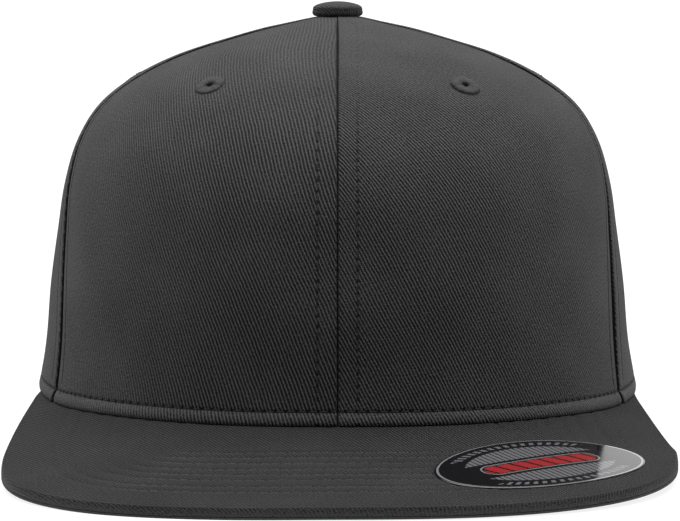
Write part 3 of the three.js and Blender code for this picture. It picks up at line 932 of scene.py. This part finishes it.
@dataclass
class Panel:
    """One crown panel: a twill wall whose edges roll in to the seams, with its hem and stitching."""

    name: str
    left: SeamLine
    right: SeamLine
    wall: float
    eyelet: "Eyelet"
    flat_mm: tuple[float, float]
    lean: float = 0.0
    raised: SeamLine | None = None
    sunk: SeamLine | None = None
    fold: float = 1.1
    fold_height: float = 3.35
    flare: float = 1.1
    flare_height: float = 17.0
    first_stitch: float = 4.4
    last_stitch: float = 92.0
    spacing: float = 2.0
    seed: float = 0.0

    def __post_init__(self) -> None:
        """Works out the panel's grid: rows at set lengths up it, columns at set ways from its seams."""
        self.crown = CrownShape()
        self.thread = Thread()
        self._rows()
        self._columns()

    def _rows(self) -> None:
        """Places rows close together over the hem and its groove, and evenly above it."""
        u = np.linspace(0, APEX_ROW, 800)
        middle = (self.left.angle(self.crown, u) + self.right.angle(self.crown, u)) / 2
        length = running_length(self.crown.point(middle, u))
        hem = [0, 0.15, 0.35, 0.6, 0.95, 1.4, 1.9, 2.3, 2.6, 2.85, 3.05, 3.25, 3.45, 3.65, 3.85]
        hem += [4.1, 4.4, 4.9, 5.7, 6.9]
        above = np.arange(8.4, length[-1], self.spacing)
        self.up = np.concatenate([hem, above, [length[-1]]])
        self.u = np.interp(self.up, length, u)

    def _columns(self) -> None:
        """Places columns at set distances from both seams, closer together where the panel narrows.

        Each row's section is measured along, and the angles at the wanted lengths are read off with
        the rows laid end to end, so that one interpolation serves them all.
        """
        near = np.array(
            [0, 0.1, 0.2, 0.32, 0.46, 0.65, 0.9, 1.25, 1.7, 2.3, 3, 3.8, 4.6, 5, 5.2, 5.4, 5.6]
            + [5.8, 6.3, 7.2, 8.5, 10]
        )
        ease = (1 - np.cos(np.linspace(0, np.pi, 361))) / 2
        start = self.left.angle(self.crown, self.u)[:, None]
        end = self.right.angle(self.crown, self.u)[:, None]
        angles = start + (end - start) * ease
        length = running_length(self.crown.point(angles, self.u[:, None]))
        self.width = length[:, -1]
        self.squeeze = np.minimum(1, 0.44 * self.width / near[-1])
        steps = int(round((self.width.max() - 2 * near[-1]) / self.spacing))
        middle = np.linspace(0, 1, steps + 1)[1:-1]
        low = self.squeeze[:, None] * near
        high = self.width[:, None] - low[:, ::-1]
        between = low[:, -1:] + (high[:, :1] - low[:, -1:]) * middle
        wanted = np.concatenate([low, between, high], axis=1)
        self.angle = read_each(wanted, length, angles)
        self.from_left = wanted / self.squeeze[:, None]
        self.from_right = (self.width[:, None] - wanted) / self.squeeze[:, None]
        self.across = wanted - self.width[:, None] / 2
        row = int(np.argmin(np.abs(near - SEAM_ROW_MM)))
        self.row_columns = {self.left: row, self.right: wanted.shape[1] - 1 - row}

    def seam_relief(self, away: Array, seam: SeamLine) -> Array:
        """The cloth beside a seam: it rolls in at the seam, swells over its allowance, dips at the row.

        Where the seam's allowances are pressed under one panel, its edge stands proud over some
        4 mm, and its neighbour's sinks.
        """
        swell = SEAM_RAISED if seam is self.raised else SEAM_SUNK if seam is self.sunk else SEAM_EVEN
        return sum(each.at(away) for each in (*SEAM_ROLL, swell, SEAM_GROOVE))

    def hem_relief(self) -> Array:
        """The hem: a fold that stands out more towards its edge, under a groove at the stitch row.

        The fold stands out by its size less the square of its height, and over the ends of the brim
        it lies almost flat. In front the foot of the wall flares out, by less with the square of
        the height.
        """
        pressed = HEM_PRESSED.at(np.abs(self.angle))
        edge = HEM_ROLL.at(self.rise) * (1 - 0.5 * pressed)
        fold = self.fold * np.clip(1 - (self.rise / self.fold_height) ** 2, 0, 1) * (1 - pressed)
        front = 1 - smoothstep(np.abs(self.angle), 50, 75)
        flare = self.flare * np.maximum(0, 1 - self.rise / self.flare_height) ** 2 * front
        return edge + fold + flare + HEM_GROOVE.at(self.rise)

    def unevenness(self) -> Array:
        """Broad shallow waves left in the stiffened cloth, a sum of three sines 0.1 mm high."""
        a, b = self.across + self.seed, self.up[:, None] + 1.7 * self.seed
        waves = np.sin(a / 13 + b / 21) + np.sin(a / 8.1 - b / 15 + 1) + np.sin(b / 11 - a / 29 + 2)
        return 0.09 * waves * smoothstep(self.up[:, None], 4, 16)

    def surface(self) -> Surface:
        """The panel's closed wall with its cloth, seam and hem maps."""
        u = np.broadcast_to(self.u[:, None], self.angle.shape)
        self.rise = running_length(self.crown.laid(self.angle, u, 0.0, HEM).transpose(1, 0, 2)).T
        relief = self.seam_relief(self.from_left, self.left)
        relief = relief + self.seam_relief(self.from_right, self.right)
        relief = relief * self.squeeze[:, None] + self.hem_relief() + self.unevenness()
        self.outer = self.crown.laid(self.angle, u, 0.0, HEM, relief)
        inner = self.crown.laid(self.angle, u, self.wall, HEM)
        self.normals = self.crown.normal(self.angle, u)
        self.seam_length = {
            seam: running_length(self.crown.point(seam.angle(self.crown, self.u), self.u))
            for seam in (self.left, self.right)
        }
        self.hem_path = self._at_hem(self.outer)
        hem_length = running_length(self.hem_path)
        holes = round(hem_length[-1] / HEM_PITCH_MM)
        self.hem_places = hem_length * holes * HEM_PITCH_MM / hem_length[-1]
        maps = {
            "cloth": together(self.across + self.lean * self.drift()[:, None], self.up[:, None]),
            "seam_left": together(self.from_left, self.seam_length[self.left][:, None]),
            "seam_right": together(self.from_right, self.seam_length[self.right][:, None]),
            "hem": together(self.rise, self.hem_places[None]),
        }
        return closed_wall(self.outer, inner, maps)

    def drift(self) -> Array:
        """How far the cloth's warp leans to the side at each row, as the sum of a changing slope.

        The panel is cut with its warp towards the apex, so the slope is 0.087 low down. Over the
        shoulder, where the panel itself turns in, it swings back by up to 0.14.
        """
        slope = np.interp(self.up, [0, 50, 75, 92, 112, 135], [0.087, 0.087, 0, -0.14, -0.1, 0])
        return np.cumsum(slope * np.gradient(self.up))

    def _at_hem(self, values: Array) -> Array:
        """Values read off each column at the height of the hem's stitch row."""
        wanted = np.full((values.shape[1], 1), HEM_ROW_MM)
        read = [read_each(wanted, self.rise.T, value.T)[:, 0] for value in np.moveaxis(values, 2, 0)]
        return np.stack(read, axis=-1)

    def stitches(self) -> Surface:
        """A row of stitches beside each seam, as far as the top of the shoulder, and one at the hem."""
        first = int(np.argmin(np.abs(self.up - self.first_stitch)))
        part = slice(first, int(np.argmax(self.up > self.last_stitch)))
        rows = []
        for seam, column in self.row_columns.items():
            path, normals = self.outer[part, column], self.normals[part, column]
            rows.append(self.thread.sewn(path, normals, self.seam_length[seam][part]))
        base = Thread(pitch=HEM_PITCH_MM, half_width=0.22, half_height=0.16, lift=0.05)
        rows.append(base.sewn(self.hem_path, self._at_hem(self.normals), self.hem_places))
        return Surface.joined(rows)

    def build(self, shop: Workshop, cloth: Material, backing: Material) -> None:
        """Builds and dresses the panel, with a hole under its eyelet."""
        surface = self.surface()
        piece = shop.mesh(self.name + "_cloth", surface)
        cutter = shop.mesh("cutter", self.eyelet.hole(self.crown))
        shop.punch(piece, cutter)
        shop.dress(piece, [cloth, backing], self.name)


@dataclass
class Eyelet:
    """An embroidered eyelet: satin stitches laid round a small hole, proud of the cloth."""

    name: str
    angle: float
    height: float
    radius: float = 4.0
    hole_radius: float = 1.15
    proud: float = 0.5
    depth: float = 2.3
    cut_radius: float = 2.9
    plug: float = 6.0
    sides: int = 32
    stitches: int = 20
    rings: int = 18
    ridge: float = 0.22
    roundness: float = 0.8
    satin: float = 2.2

    def place(self, crown: CrownShape) -> tuple[Array, Array]:
        """The middle of the eyelet on the crown, and axes across, up and out of the cloth."""
        u = np.array(crown.row_at(self.height))
        angle = np.array(self.angle)
        middle, out = crown.point(angle, u), crown.normal(angle, u)
        across = unit(np.cross([0.0, 0.0, 1.0], out))
        return middle, np.stack([across, np.cross(out, across), out])

    def hole(self, crown: CrownShape) -> Surface:
        """A round plug through the cloth, to be cut out of the panel, with the panel's maps."""
        middle, axes = self.place(crown)
        turn = around(self.sides)
        ring = together(np.cos(turn), np.sin(turn), 0.0) * self.cut_radius
        ends = self.plug * np.array([[[0, 0, -1.0]], [[0, 0, 1.0]]])
        flat = np.zeros((2, self.sides, 2))
        maps = {name: flat for name in ("cloth", "seam_left", "seam_right", "hem")}
        return ring_wall(middle + (ring[None] + ends) @ axes, maps, flipped=True)

    def surface(self, crown: CrownShape) -> Surface:
        """A rounded ring whose radius swells at each satin stitch.

        The section is a superellipse about the ring's middle line, and a ridge that goes with
        |cos(stitches / 2 times the turn)|, uneven round the ring, runs over it out from the hole.
        """
        middle, axes = self.place(crown)
        turn = around(4 * self.stitches)[None]
        round_it = around(self.rings)[:, None]
        half = (self.radius - self.hole_radius) / 2
        uneven = 1 + 0.4 * np.sin(3 * turn + self.angle) + 0.3 * np.sin(7 * turn + self.height)
        lean = 0.5 * np.sin(2 * turn)
        ridge = self.ridge * uneven * np.abs(np.cos(self.stitches / 2 * turn + lean))
        cosine, sine = np.cos(round_it), np.sin(round_it)
        out = np.sign(cosine) * np.abs(cosine) ** self.roundness * (half + ridge)
        high = np.sign(sine) * np.abs(sine) ** self.roundness
        top = (high > 0) * (self.proud + ridge) + (high <= 0) * self.depth
        way = (self.radius + self.hole_radius) / 2 + out
        points = middle + together(way * np.cos(turn), way * np.sin(turn), high * top) @ axes
        rows, columns = points.shape[:2]
        faces = grid_faces(rows + 1, columns, wrapped=True) % (rows * columns)
        uv = together(round_it * self.satin, turn * self.stitches / FULL_TURN)
        return Surface(points.reshape(-1, 3), faces, {"thread": uv.reshape(-1, 2)})

    def build(self, shop: Workshop, thread: Material) -> None:
        """Builds and dresses the eyelet."""
        piece = shop.mesh(self.name + "_thread", self.surface(CrownShape()))
        shop.dress(piece, [thread], self.name)


@dataclass
class Crown:
    """The six panels, their eyelets and all their stitching."""

    front_flat: tuple[float, float] = (123.0, 172.0)
    side_flat: tuple[float, float] = (115.0, 162.0)
    back_flat: tuple[float, float] = (112.0, 170.0)

    def panels(self) -> list[Panel]:
        """The panels from the front round both sides to the back."""
        front, side, back = self.front_flat, self.side_flat, self.back_flat
        seam = SeamLine
        return [
            Panel(
                "front_left_panel", seam.FRONT_CENTRE, seam.LEFT_FRONT, FRONT_WALL_MM,
                Eyelet("front_left_eyelet", 36, 87.3), front, lean=1.0,
                sunk=seam.LEFT_FRONT, seed=3.0,
            ),
            Panel(
                "front_right_panel", seam.RIGHT_FRONT, seam.FRONT_CENTRE, FRONT_WALL_MM,
                Eyelet("front_right_eyelet", -36, 87.3), front, lean=-1.9,
                sunk=seam.RIGHT_FRONT, seed=11.0,
            ),
            Panel(
                "side_left_panel", seam.LEFT_FRONT, seam.LEFT_BACK, REAR_WALL_MM,
                Eyelet("side_left_eyelet", 106, 86.5), side, raised=seam.LEFT_FRONT, seed=23.0,
            ),
            Panel(
                "side_right_panel", seam.RIGHT_BACK, seam.RIGHT_FRONT, REAR_WALL_MM,
                Eyelet("side_right_eyelet", -106, 86.5), side, raised=seam.RIGHT_FRONT, seed=31.0,
            ),
            Panel(
                "back_left_panel", seam.LEFT_BACK, seam.BACK_CENTRE_LEFT, REAR_WALL_MM,
                Eyelet("back_left_eyelet", 153, 86), back, lean=-1.0, seed=43.0,
            ),
            Panel(
                "back_right_panel", seam.BACK_CENTRE_RIGHT, seam.RIGHT_BACK, REAR_WALL_MM,
                Eyelet("back_right_eyelet", -153, 86), back, lean=1.0, seed=57.0,
            ),
        ]

    def build(self, shop: Workshop, thread: Material) -> None:
        """Builds the panels, the eyelets and the stitching."""
        rows = (
            Stitching("seam_left", SEAM_ROW_MM, SEAM_PITCH_MM),
            Stitching("seam_right", SEAM_ROW_MM, SEAM_PITCH_MM),
            Stitching("hem", HEM_ROW_MM, HEM_PITCH_MM, depth=1.0),
        )
        cloth = CottonTwill(
            "cotton_twill_crown",
            # Painted shade in the seams' grooves
            shaded_seams=("seam_left", "seam_right"),
            stitching=rows,
            # Lighter over the hem's fold, round 2.5 mm above its edge
            worn_and_lit=WearAndHighlight("hem", 2.5, 1.7, 0.18),
            # Painted groove shade fades towards the sides and near the top
            groove_shade_fades=(GrooveShadeFade("X", 0.03, 0.068), GrooveShadeFade("Z", 0.084, 0.106)),
        ).make()
        backing = PlainWeave("woven_backing", "#2c2c2e", "#161617").make()
        satin = PolyesterThread("satin_stitch_thread", "#4e4e4f", "#2a2a2b").make()
        stitches = []
        for panel in self.panels():
            panel.build(shop, cloth, backing)
            panel.eyelet.build(shop, satin)
            stitches.append(panel.stitches())
        sewn = shop.mesh("crown_stitching", Surface.joined(stitches))
        shop.dress(sewn, [thread])


@dataclass
class Button:
    """The cloth-covered button: a dome whose cover is gathered in under its rim."""

    profile: tuple[tuple[float, float], ...] = (
        (0.0, 101.7), (3.2, 101.7), (3.2, 104.6), (5.2, 104.3), (6.3, 104.15), (6.75, 104.3),
        (6.98, 104.75), (7.0, 105.5), (6.96, 106.2), (6.75, 106.75), (6.3, 107.15), (5.5, 107.5),
        (4.4, 107.8), (3.0, 108.08), (1.5, 108.25), (0.0, 108.3),
    )
    gathers: Bell = Bell(0.07, 105.2, 1.0)
    rings: int = 60
    sides: int = 96

    def build(self, shop: Workshop) -> None:
        """Turns a smooth profile about the button's axis, with folds that grow towards its rim."""
        knots = np.array(self.profile)
        length = running_length(knots)
        wanted = np.linspace(0, length[-1], self.rings)
        radius, height = read_off(wanted, length, knots).T[..., None]
        turn = around(self.sides)[None]
        rim = self.gathers.at(height) * (radius > 5)
        fold = rim * (np.sin(17 * turn) + 0.6 * np.sin(29 * turn + 1))
        soft = 0.05 * np.sin(height * 4.2) * (radius > 4)
        way = np.maximum(radius + fold + soft, 0.02)
        points = together(way * np.cos(turn), way * np.sin(turn), height)
        flat = wanted[::-1, None, None] * together(np.cos(turn), np.sin(turn))
        piece = shop.mesh("button_cover", ring_wall(points, {"cloth": flat}, flipped=True))
        cloth = CottonTwill(
            "cotton_twill_button", ridge="#4a4a4b", pitch_mm=0.8, ridge_depth_mm=0.1, groove_contrast=0.5,
        )
        shop.dress(piece, [cloth.make()], "button")


@dataclass
class Brim:
    """The flat brim: a board in a twill cover, with rows of stitching round it and a pressed edge."""

    shape: BrimShape = BrimShape()
    top_layer: float = 2.1
    gap: float = 0.12
    under_layer: float = 0.78
    tip_thinning: float = 0.45
    tip_angle: float = 81.3
    stations: int = 281
    rows_mm: tuple[float, ...] = (13.7, 18.1, 23.8, 28.2, 32.85, 37.8, 42.5, 46.7)
    flat_mm: tuple[float, float] = (182.0, 152.0)
    groove: Bell = Bell(-0.17, 0.0, 0.7)
    swell: Bell = Bell(0.07, 2.3, 1.5)
    drawn: float = 0.35

    def inner_edge(self) -> Array:
        """The brim's edge under the crown's front wall, evenly spaced from tip to tip."""
        crown = CrownShape()
        angle = np.linspace(-self.tip_angle, self.tip_angle, 601)
        zero = np.zeros_like(angle)
        edge = (crown.point(angle, zero) - FRONT_WALL_MM * crown.normal(angle, zero))[:, :2]
        length = running_length(edge)
        return read_off(np.linspace(0, length[-1], self.stations), length, edge)

    def quilting(self, plan: Array, inward: Array) -> Array:
        """Relief of the cover: a groove at each stitch row, swells between, puckers along them.

        The puckers are a product of sines of the plan position, which makes each groove deeper and
        shallower along its way.
        """
        away = inward[..., None] - np.array(self.rows_mm)
        x, y = plan[..., 0], plan[..., 1]
        pucker = 1 + 0.45 * np.sin(x / 1.9 + np.sin(y / 5.3)) * np.sin(x / 7.7 - y / 3.1)
        return self.swell.at(away).sum(-1) + self.groove.at(away).sum(-1) * pucker

    def loops(self, upper: bool) -> tuple[Array, Array, Array]:
        """Loops round one layer at each station, and their plan positions for the cloth map.

        A loop runs out over the layer's upper face, down its edge by a small table of inward steps
        and drops, and back along its lower face. Steps shrink where the brim narrows to its tips.

        Args:
            upper: the top cover with its board, or the underside's cover.

        Returns:
            Stations by loop points of positions, of plan positions, and of ways in from the edge.
        """
        outer, inner = self.shape.outline(self.stations), self.inner_edge()
        reach = np.linalg.norm(outer - inner, axis=1)[:, None]
        side = np.abs(np.linspace(-1, 1, self.stations))[:, None]
        thin = 1 + (self.tip_thinning - 1) * smoothstep(side, 0.85, 1.0)
        top = 0.0 if upper else self.top_layer
        base = top + (self.top_layer if upper else self.under_layer)
        gap = 0.0 if upper else self.gap
        if upper:
            steps = np.array([2.8, 2.1, 1.6, 1.25, 1, 0.78, 0.56, 0.36, 0.2, 0.08, 0, 0.03, 0.12])
            falls = np.array([0, 0.06, 0.03, -0.06, -0.1, -0.07, 0.04, 0.22, 0.5, 0.9, 1.5, 1.95, 2.1])
        else:
            steps = np.array([0.8, 0.2, 0.06, 0.02, 0.0, 0.08, 0.3, 0.9])
            falls = np.array([0.0, 0.02, 0.08, 0.22, 0.42, 0.62, 0.75, 0.78]) + top
        shrink = np.minimum(1, 0.4 * reach / steps[0])
        lines, back_lines = (150, 19) if upper else (61, 19)
        face = np.linspace(0, 1, lines + 1)[:-1] * (1 - steps[0] * shrink / reach)
        edge = 1 - steps * shrink / reach
        back = np.linspace(1, 0, back_lines + 1)[1:] * (1 - steps[-1] * shrink / reach)
        share = np.concatenate([face, edge, back], axis=1)
        fall = np.concatenate([np.full(lines, top), falls, np.full(back_lines, base)])
        plan = inner[:, None] + (outer - inner)[:, None] * share[..., None]
        lift = -(fall * thin + gap)
        inward = self.shape.inward(plan)
        if upper:
            on_face = (np.arange(share.shape[1]) < lines).astype(float)
            lift = lift + self.quilting(plan, inward) * on_face
        return self.shape.on_top(plan, lift), plan, inward

    def cover(self, upper: bool) -> Surface:
        """One layer of the brim as a closed body with the cloth's map in plan millimetres."""
        loops, plan, inward = self.loops(upper)
        drop = (self.shape.top(plan[..., 0], plan[..., 1]) - loops[..., 2])[..., None]
        outward = unit(plan - plan.mean(axis=(0, 1)))
        past = inward - np.maximum(drop[..., 0], 0)
        maps = {"cloth": plan + drop * outward, "edge": together(past, past)}
        return ring_wall(loops, maps)

    def stitches(self, upper: bool) -> Surface:
        """Rows of stitching at set ways in from the edge, each ending where it meets the crown.

        Where the rows bend back the cloth is drawn tighter, and the thread sinks in.
        """
        depth = 0.0 if upper else self.top_layer + self.gap + self.under_layer
        edge = self.shape.outline(self.shape.edge_steps)
        along = unit(np.gradient(edge, axis=0))
        inwards = together(-along[:, 1], along[:, 0])
        thread = Thread(pitch=2.9, half_width=0.19, half_height=0.15, lift=0.04)
        sewn = []
        for row in self.rows_mm:
            line = edge + inwards * row
            clear = self.shape.inward(line[None])[0] > row - 0.2
            outside = np.linalg.norm(line, axis=1) > self.crown_reach(line) - 1.2
            kept = line[clear & outside]
            inward = self.shape.inward(kept[None])[0]
            heading = unit(np.gradient(kept, axis=0))
            sunk = -self.drawn * smoothstep(np.abs(heading[:, 1]), 0.25, 0.6)
            lift = self.quilting(kept, inward) + sunk if upper else sunk
            path = self.shape.on_top(kept, lift - depth)
            normal = self.shape.normal(kept) * (1 if upper else -1)
            sewn.append(thread.sewn(path, normal, running_length(path)))
        return Surface.joined(sewn)

    @staticmethod
    def crown_reach(plan: Array) -> Array:
        """How far the crown's base reaches from the middle in the direction of each plan point."""
        angle = np.linspace(-120, 120, 1201)
        base = CrownShape().point(angle, np.zeros_like(angle))
        way = np.arctan2(base[:, 0], -base[:, 1])
        wanted = np.arctan2(plan[:, 0], -plan[:, 1])
        return np.interp(wanted, way, np.linalg.norm(base[:, :2], axis=1))

    def build(self, shop: Workshop, thread: Material) -> None:
        """Builds and dresses both layers and their stitching."""
        cloth = CottonTwill(
            "cotton_twill_brim",
            # The crown's cloth coloured darker: painted shade on the brim
            ridge="#424243",
            groove="#070708",
            pitch_mm=1.0,
            ridge_depth_mm=0.16,
            groove_contrast=0.95,
            level=-0.21,
            uneven=2.0,
            # Painted highlight along the brim's pressed edge and painted light on the edge's wall, with
            # some wear
            worn_and_lit=WearAndHighlight("edge", -2.4, 3.3, 0.86),
            # Painted groove shade fades between 80 and 100 mm from the middle along Y
            groove_shade_fades=(GrooveShadeFade("Y", 0.08, 0.1),),
        )
        finish = cloth.make()
        for upper, node, under in ((True, "brim", "brim_underside"), (False, "brim_underside", "brim")):
            surface = self.cover(upper)
            piece = shop.mesh(node + "_cover", surface)
            shop.dress(piece, [finish], node)
            sewn = shop.mesh(node + "_stitching", self.stitches(upper))
            shop.dress(sewn, [thread])


@dataclass
class Sweatband:
    """The band inside the base of the crown: a strip of soft cloth with a bound top edge."""

    height: float = 34.0
    near: float = 2.35
    thickness: float = 1.5
    flat_mm: tuple[float, float] = (570.0, 34.0)
    binding: tuple[Bell, ...] = (Bell(0.25, 0.95, 0.04), Bell(-0.2, 0.875, 0.02))

    def build(self, shop: Workshop) -> None:
        """Builds a ring inside the wall, swollen at its bound edge and waved a little."""
        crown = CrownShape()
        angle = np.linspace(-180, 180, 240, endpoint=False)[None]
        up = np.concatenate([np.linspace(0, 0.8, 20), np.linspace(0.82, 1, 12)])[:, None]
        u = np.broadcast_to(up * crown.row_at(self.height), (len(up), angle.shape[1]))
        angle = np.broadcast_to(angle, u.shape)
        bound = sum(each.at(up) for each in self.binding)
        wave = 0.12 * np.sin(np.radians(angle * 9)) * np.sin(np.pi * up)
        outer = crown.laid(angle, u, self.near, BAND_EDGE)
        inner = crown.laid(angle, u, self.near + self.thickness, BAND_EDGE, -bound - wave)
        uv = {"cloth": together(running_length(outer), up * self.height)}
        piece = shop.mesh("sweatband_cloth", closed_wall(outer, inner, uv, wrapped=True))
        weave = PlainWeave("brushed_band_cloth", "#333335", "#1b1b1c", yarn_mm=0.9).make()
        shop.dress(piece, [weave, weave], "sweatband")


@dataclass
class Sticker:
    """The oval foil sticker on the wearer's left of the brim, with a generic print."""

    length: float = 64.0
    width: float = 38.0
    turn: float = 36.0
    x: float = 53.5
    forward: float = 28.0
    lift: float = 0.08
    thickness: float = 0.22
    sides: int = 120

    def placed(self, along: Array, across: Array) -> Array:
        """Plan positions of points of the sticker's own axes: a turn and a shift."""
        turn = np.radians(self.turn)
        x = self.x + along * np.cos(turn) - across * np.sin(turn)
        forward = self.forward - along * np.sin(turn) - across * np.cos(turn)
        return together(x, -(forward + BrimShape().junction))

    def build(self, shop: Workshop) -> None:
        """Builds rings of a thin oval that follows the brim, over the top and back underneath."""
        brim = BrimShape()
        top, under = np.linspace(0.002, 0.985, 26), np.linspace(0.985, 0.002, 14)
        share = np.concatenate([top, [0.996, 1.0, 0.996], under])[:, None]
        lift = np.concatenate([np.ones_like(top), [0.93, 0.5, 0.07], np.zeros_like(under)])[:, None]
        turn = around(self.sides)
        along = share * self.length / 2 * np.cos(turn)
        across = share * self.width / 2 * np.sin(turn)
        points = brim.on_top(self.placed(along, across), self.lift + self.thickness * lift)
        uv = {"print": together(along, across)}
        piece = shop.mesh("size_sticker_foil", ring_wall(points, uv))
        shop.dress(piece, [PrintedFoil().make()], "size_sticker")


@dataclass(frozen=True)
class SoftBox:
    """A square studio light: where it stands and points in metres, its sides and its power."""

    name: str
    place: tuple[float, float, float]
    target: tuple[float, float, float]
    size: tuple[float, float]
    power: float

    def add(self) -> None:
        """Adds the light to the scene."""
        data = bpy.data.lights.new(self.name, "AREA")
        data.shape = "RECTANGLE"
        data.size, data.size_y = self.size
        data.energy = self.power
        light = bpy.data.objects.new(self.name, data)
        light.location = self.place
        way = Vector(self.target) - Vector(self.place)
        light.rotation_euler = way.to_track_quat("-Z", "Y").to_euler()
        bpy.context.scene.collection.objects.link(light)


@dataclass
class Studio:
    """The pale floor, the light and the camera."""

    camera_mm: tuple[float, float, float] = (0.0, -2000.0, 180.0)
    target_mm: tuple[float, float, float] = (0.676, 0.0, 35.35)
    focal_pixels: float = 7128.0
    floor_half: float = 9.0
    sky: float = 0.15
    floor_glow: float = 0.85
    lights: tuple[SoftBox, ...] = (
        SoftBox("overhead", (0.0, 0.42, 1.8), (0.0, 0.35, 0.0), (2.4, 2.2), 84.0),
        SoftBox("behind", (0.0, 2.0, 0.85), (0.0, 0.0, 0.1), (3.0, 0.8), 7.0),
        SoftBox("left_side", (1.5, 0.1, 0.5), (0.0, 0.0, 0.06), (1.2, 1.0), 5.5),
        SoftBox("right_side", (-1.5, 0.1, 0.5), (0.0, 0.0, 0.06), (1.2, 1.0), 5.5),
    )

    def build(self, lay: Lay) -> None:
        """Lays the floor, hangs the lights and stands the camera at the photograph's angle."""
        scene = bpy.context.scene
        self._floor()
        for light in self.lights:
            light.add()
        world = bpy.data.worlds.new("pale_room")
        world.use_nodes = True
        background = world.node_tree.nodes["Background"]
        background.inputs["Color"].default_value = srgb("#ffffff")
        background.inputs["Strength"].default_value = self.sky
        scene.world = world
        scene.view_settings.view_transform = "Standard"
        data = bpy.data.cameras.new("camera")
        data.sensor_width = 36.0
        data.lens = self.focal_pixels * data.sensor_width / PIXELS_WIDE
        data.clip_start, data.clip_end = 0.05, 50.0
        camera = bpy.data.objects.new("camera", data)
        place, target = lay.placed(np.array([self.camera_mm, self.target_mm]))
        camera.location = place
        camera.rotation_euler = Vector(target - place).to_track_quat("-Z", "Y").to_euler()
        scene.collection.objects.link(camera)
        scene.camera = camera

    def _floor(self) -> None:
        """Lays a lit table as one grid of 2 by 2 faces."""
        way = np.linspace(-self.floor_half, self.floor_half, 3)
        y, x = np.meshgrid(way, way, indexing="ij")
        data = bpy.data.meshes.new("floor")
        points = together(x, y, 0.0).reshape(-1, 3)
        data.from_pydata(points, [], grid_faces(3, 3))
        floor = bpy.data.objects.new("floor", data)
        dye = Dye.pot("lit_acrylic_table")
        finish = dye.finish(
            Base_Color=srgb("#6e6e6e"),
            Roughness=0.9,
            Emission_Color=srgb("#ffffff"),
            Emission_Strength=self.floor_glow,
        )
        data.materials.append(finish)
        bpy.context.scene.collection.objects.link(floor)


def main() -> None:
    """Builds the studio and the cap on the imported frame, piece by piece."""
    logging.basicConfig(level=logging.INFO, format="%(name)s: %(message)s")
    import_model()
    shop = Workshop()
    Studio().build(shop.lay)
    thread = PolyesterThread().make()
    Crown().build(shop, thread)
    Button().build(shop)
    Brim().build(shop, PolyesterThread("spun_polyester_thread_brim", "#505052", "#3a3a3b").make())
    Sweatband().build(shop)
    Sticker().build(shop)


if __name__ == "__main__":
    main()
